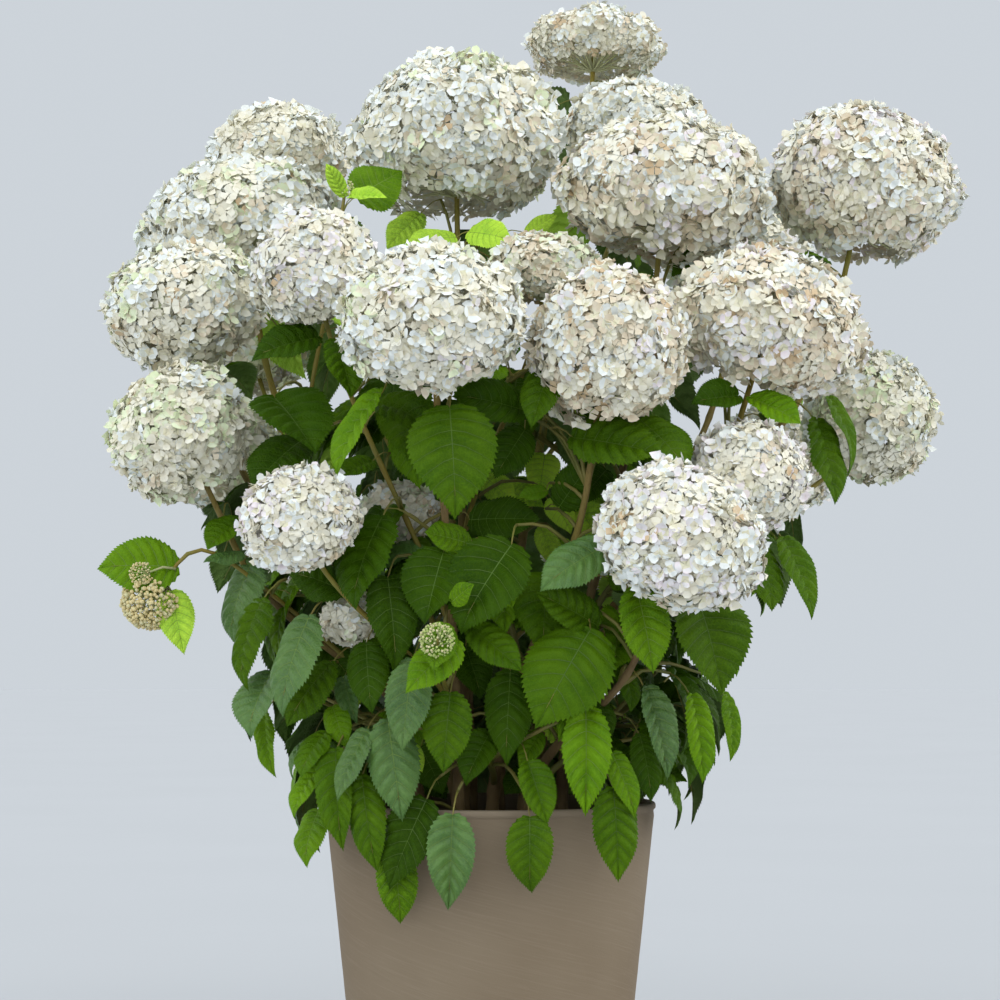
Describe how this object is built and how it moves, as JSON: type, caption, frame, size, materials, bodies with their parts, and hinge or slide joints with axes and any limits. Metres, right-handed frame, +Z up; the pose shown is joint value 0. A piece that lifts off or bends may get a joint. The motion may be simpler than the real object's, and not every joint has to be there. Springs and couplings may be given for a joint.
{
  "type": "potted hydrangea shrub",
  "caption": "Bushy mophead hydrangea with domed creamy-white flower heads over serrated green leaves, in a tall tapered clay planter filled with soil.",
  "frame": {"origin": "centre of the planter's flat underside, where the whole part stands", "axes": "+Z up, -Y towards the viewer's side, +X to the viewer's right"},
  "size_m": [1.0759, 0.9529, 1.4894],
  "materials": {
    "clay": "matte, bare fired clay with faint brushed streaks",
    "soil": "loose, damp, dark potting soil",
    "bark": "matte tan-brown canes, greener towards the tips",
    "blossom": "matte, thin creamy-white petals with a pink cast",
    "foliage": "satin green leaves with paler veins"
  },
  "bodies": {
    "root": {"planter": "clay", "potting_soil": "soil", "cane_top_left": "bark", "cane_top_right": "bark", "cane_right_upper": "bark", "cane_left_upper": "bark", "cane_centre_left": "bark", "cane_centre": "bark", "cane_right_middle": "bark", "cane_left_outer": "bark", "cane_crest": "bark", "cane_left_middle": "bark", "cane_right_front": "bark", "cane_back_centre": "bark", "cane_back_right": "bark", "bloom_top_left": "blossom", "bloom_top_right": "blossom", "bloom_right_upper": "blossom", "bloom_left_upper": "blossom", "bloom_centre_left": "blossom", "bloom_centre": "blossom", "bloom_right_middle": "blossom", "bloom_left_outer": "blossom", "bloom_crest": "blossom", "bloom_left_middle": "blossom", "bloom_right_front": "blossom", "bloom_back_centre": "blossom", "bloom_back_right": "blossom", "bloom_back_left": "blossom", "bloom_left_pink": "blossom", "bloom_centre_behind": "blossom", "bloom_top_behind": "blossom", "bloom_right_lower": "blossom", "bloom_right_small": "blossom", "bloom_left_front": "blossom", "bloom_inner_left": "blossom", "bloom_inner_low": "blossom", "bloom_back_left_low": "blossom", "bloom_back_middle": "blossom", "bloom_back_right_middle": "blossom", "bloom_back_right_low": "blossom", "bloom_back_far_left": "blossom", "bloom_back_low_left": "blossom", "bloom_back_low_right": "blossom", "bud_shoot_left": "foliage", "bud_shoot_top": "foliage", "bud_shoot_centre": "foliage", "leaves_front_low": "foliage", "leaves_front_left_low": "foliage", "leaves_front_right_low": "foliage", "leaves_left_low": "foliage", "leaves_right_low": "foliage", "leaves_back_left_low": "foliage", "leaves_back_right_low": "foliage", "leaves_front_middle": "foliage", "leaves_left_middle": "foliage", "leaves_right_middle": "foliage", "leaves_back_middle": "foliage", "leaves_top": "foliage", "leaves_back_top": "foliage"}
  },
  "joints": []
}
